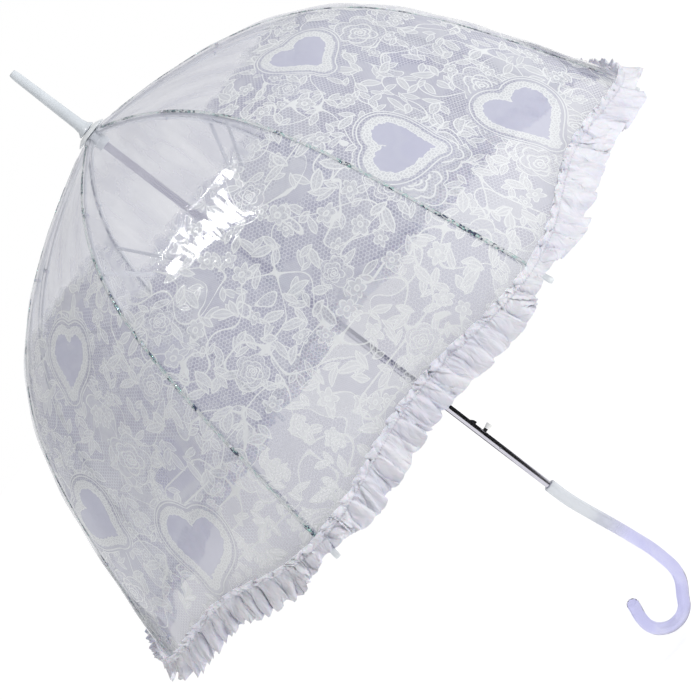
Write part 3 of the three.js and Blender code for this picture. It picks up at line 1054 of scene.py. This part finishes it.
def camera():
    """The photo's viewing angle, with the parasol lying back across the picture."""
    level = Vector((math.cos(AZIMUTH), math.sin(AZIMUTH), 0))
    ahead = Vector((math.sin(AZIMUTH), -math.cos(AZIMUTH), 0))
    back = ahead * math.cos(ELEVATION) + Vector((0, 0, math.sin(ELEVATION)))
    rise = back.cross(level)
    right = level * math.cos(ROLL) - rise * math.sin(ROLL)
    up = level * math.sin(ROLL) + rise * math.cos(ROLL)
    target = Vector((0, 0, APEX_Z - AIM_DEPTH)) + level * AIM_ACROSS
    data = bpy.data.cameras.new("camera")
    data.lens = CAMERA_LENS
    eye = bpy.data.objects.new("camera", data)
    axes = Matrix((right, up, back)).transposed().to_4x4()
    eye.matrix_world = Matrix.Translation(target + back * CAMERA_DISTANCE) @ axes
    bpy.context.scene.collection.objects.link(eye)
    bpy.context.scene.camera = eye


def softbox(name, place, aim, size, power, mirrored=False):
    """An area light. One that is mirrored shows only as a reflection, the others only light surfaces."""
    light = bpy.data.lights.new(name, "AREA")
    light.shape = "RECTANGLE"
    light.size, light.size_y = size
    light.energy = power
    lamp = bpy.data.objects.new(name, light)
    lamp.matrix_world = placed(place, Vector(place) - Vector(aim))
    lamp.visible_camera = False
    lamp.visible_glossy = mirrored
    lamp.visible_diffuse = not mirrored
    lamp.visible_transmission = False
    bpy.context.scene.collection.objects.link(lamp)


def dark_card(name, place, aim, size):
    """A black card seen only in reflections and through the crook, for the dark lines down both."""
    look = Look("card")
    grain = look.noise(look.place(), 3.0)
    look.feed("Base Color", look.blend(grain, (0.004, 0.004, 0.004), (0.008, 0.008, 0.008)))
    look.fix(Roughness=1.0)
    card = rectangle(name, size[0] / 2, size[1] / 2, look.material)
    card.matrix_world = placed(place, Vector(place) - Vector(aim))
    card.visible_camera = card.visible_diffuse = False


def sky():
    """White round the horizon, softer overhead, and dimmer on the side away from the key light."""
    world = bpy.data.worlds.new("studio")
    world.use_nodes = True
    tree = world.node_tree
    background = tree.nodes["Background"]
    direction = tree.nodes.new("ShaderNodeTexCoord").outputs["Generated"]
    split = tree.nodes.new("ShaderNodeSeparateXYZ")
    tree.links.new(direction, split.inputs[0])
    x, y, z = (Field(tree, output) for output in split.outputs)
    lift = z.ramp(0.10, 0.42)
    away = (x * -0.8 + y * -0.6).ramp(0.0, 0.8)
    strength = (lift * (away * 0.42 + 0.42)).flipped()
    tree.links.new(strength.socket, background.inputs["Strength"])
    background.inputs["Color"].default_value = (1, 1, 1, 1)
    bpy.context.scene.world = world


def studio():
    bpy.context.scene.view_settings.view_transform = "Standard"
    sky()
    middle = (0, 0, 0.3)
    softbox("key", (1.7, -1.5, 1.9), middle, (0.9, 0.9), 24)
    shoulder = (0, -0.24, 0.53)
    softbox("window_1", (0.095, -0.80, 2.33), shoulder, (0.11, 0.36), 5, mirrored=True)
    softbox("window_2", (-0.08, -1.07, 2.21), shoulder, (0.09, 0.26), 2.8, mirrored=True)
    softbox("window_bar", (-0.08, -0.62, 2.39), shoulder, (0.28, 0.03), 1.0, mirrored=True)
    dark_card("dark_card", (0.66, -0.26, 0.06), (0, 0, 0.06), (1.1, 0.42))
    dark_card("dark_card_2", (0.30, -0.60, 0.02), (0, 0, 0.06), (0.75, 0.42))
    dark_card("dark_card_3", (-0.85, 0.45, 0.0), (0, 0, 0), (0.6, 0.8))
    dark_card("dark_card_4", (0.85, 0.45, 0.0), (0, 0, 0), (0.6, 0.8))
    look = Look("floor")
    grain = look.noise(look.place(), 6.0, 3.0)
    look.feed("Base Color", look.blend(grain, (0.79, 0.79, 0.79), (0.81, 0.81, 0.81)))
    look.fix(Roughness=0.9, Emission_Strength=0.6)
    look.shader.inputs["Emission Color"].default_value = (1, 1, 1, 1)
    floor = rectangle("floor", FLOOR_REACH, FLOOR_REACH, look.material)
    floor.location.z = CAD_BOX[0].z - FLOOR_GAP


# ---------------------------------------------------------------- the parasol

def build():
    film = lace_film()
    ribbon = satin()
    white = moulded("white_moulding", (0.80, 0.84, 0.86), (0.85, 0.88, 0.90), 0.28)
    # Painted shade: the ferrule's white plastic gets a darker grey copy so that its brightly lit tip does not
    # wash out.
    white_painted_darker = moulded("ferrule_moulding", (0.66, 0.70, 0.74), (0.72, 0.76, 0.80), 0.22)
    pale = moulded("button_moulding", (0.84, 0.84, 0.80), (0.90, 0.90, 0.88), 0.3)
    enamel = moulded("rib_enamel", (0.80, 0.82, 0.86), (0.90, 0.91, 0.94), 0.25, 320.0)
    chrome = metal("shaft_chrome", (0.62, 0.61, 0.67), (0.54, 0.53, 0.60), 0.05)
    black = metal("latch_black", (0.012, 0.012, 0.014), (0.03, 0.03, 0.032), 0.32, 0.3)
    weld = seam_painted_glints()

    for index in range(RIB_COUNT):
        for side in (1, -1):
            film_half(index, side, film)
            frill_half(index, side, ribbon)
        rib_wire(index, enamel)
        seam(index, weld)
        rib_peg(index, white)
        for number, depth in enumerate(TIE_DEPTHS, 1):
            tie(index, number, depth, ribbon)
    crook(crook_plastic())

    group = smooth_by_angle()
    finish_node("shaft", chrome, group, bevel=0)
    plain = {
        "ferrule": white_painted_darker, "crown": white, "canopy_washer": white, "runner": white,
        "latch_lever": black, "latch_button": pale, "latch_pin": chrome,
    }
    for name, material in plain.items():
        finish_node(name, material, group)
    for index in range(RIB_COUNT):
        finish_node(f"stretcher_{index + 1}", enamel, group, 0.00025)


camera()
studio()
build()
